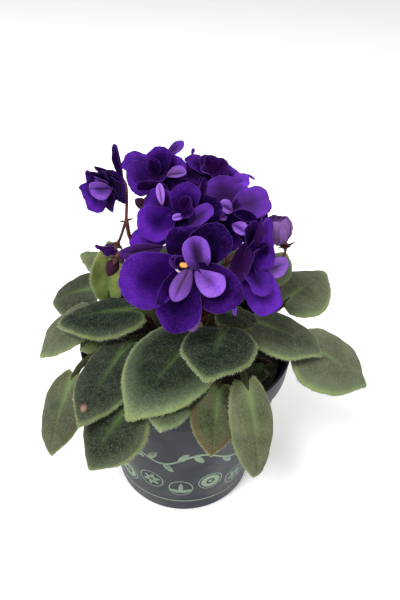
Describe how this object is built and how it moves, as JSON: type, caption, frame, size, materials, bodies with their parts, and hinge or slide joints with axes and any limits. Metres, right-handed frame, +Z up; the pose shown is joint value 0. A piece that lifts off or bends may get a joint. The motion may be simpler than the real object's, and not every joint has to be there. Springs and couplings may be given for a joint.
{
  "type": "potted african violet",
  "caption": "Flowering African violet with frilled violet-blue flowers above a rosette of velvety leaves, growing in a round tapered plastic nursery pot.",
  "frame": {"origin": "centre of the pot's underside, on the surface the pot stands on", "axes": "+Z up the pot's axis, -Y towards the front, +X to the right seen from the front"},
  "size_m": [0.1544, 0.1501, 0.182],
  "materials": {
    "pot_plastic": "satin",
    "potting_mix": "crumbly, matt",
    "crown_green": "matt",
    "leaf_green": "velvety, matt",
    "stalk_red": "matt",
    "petal_violet": "velvety, matt",
    "petal_lilac": "velvety, matt",
    "pollen_yellow": "matt"
  },
  "bodies": {
    "root": {"bud_1": "petal_violet", "bud_2": "petal_violet", "bud_3": "petal_violet", "crown": "crown_green", "flower_1": "petal_violet", "flower_1_anthers": "pollen_yellow", "flower_1_inner": "petal_lilac", "flower_2": "petal_violet", "flower_2_inner": "petal_lilac", "flower_3": "petal_violet", "flower_3_inner": "petal_lilac", "flower_4": "petal_violet", "flower_4_inner": "petal_lilac", "flower_5": "petal_violet", "flower_5_inner": "petal_lilac", "flower_6": "petal_violet", "flower_6_inner": "petal_lilac", "flower_7": "petal_violet", "flower_7_inner": "petal_lilac", "flower_8": "petal_violet", "flower_8_inner": "petal_lilac", "flower_9": "petal_violet", "flower_9_inner": "petal_lilac", "flower_stalk_1": "stalk_red", "flower_stalk_2": "stalk_red", "flower_stalk_3": "stalk_red", "flower_stalk_4": "stalk_red", "half_open_1": "petal_violet", "half_open_2": "petal_violet", "leaf_01": "leaf_green", "leaf_02": "leaf_green", "leaf_03": "leaf_green", "leaf_04": "leaf_green", "leaf_05": "leaf_green", "leaf_06": "leaf_green", "leaf_07": "leaf_green", "leaf_08": "leaf_green", "leaf_09": "leaf_green", "leaf_10": "leaf_green", "leaf_11": "leaf_green", "leaf_12": "leaf_green", "leaf_13": "leaf_green", "leaf_14": "leaf_green", "leaf_15": "leaf_green", "leaf_16": "leaf_green", "leaf_17": "leaf_green", "leaf_18": "leaf_green", "leaf_19": "leaf_green", "leaf_20": "leaf_green", "leaf_21": "leaf_green", "leaf_22": "leaf_green", "leaf_23": "leaf_green", "leaf_24": "leaf_green", "leaf_25": "leaf_green", "pot": "pot_plastic", "soil": "potting_mix"}
  },
  "joints": []
}
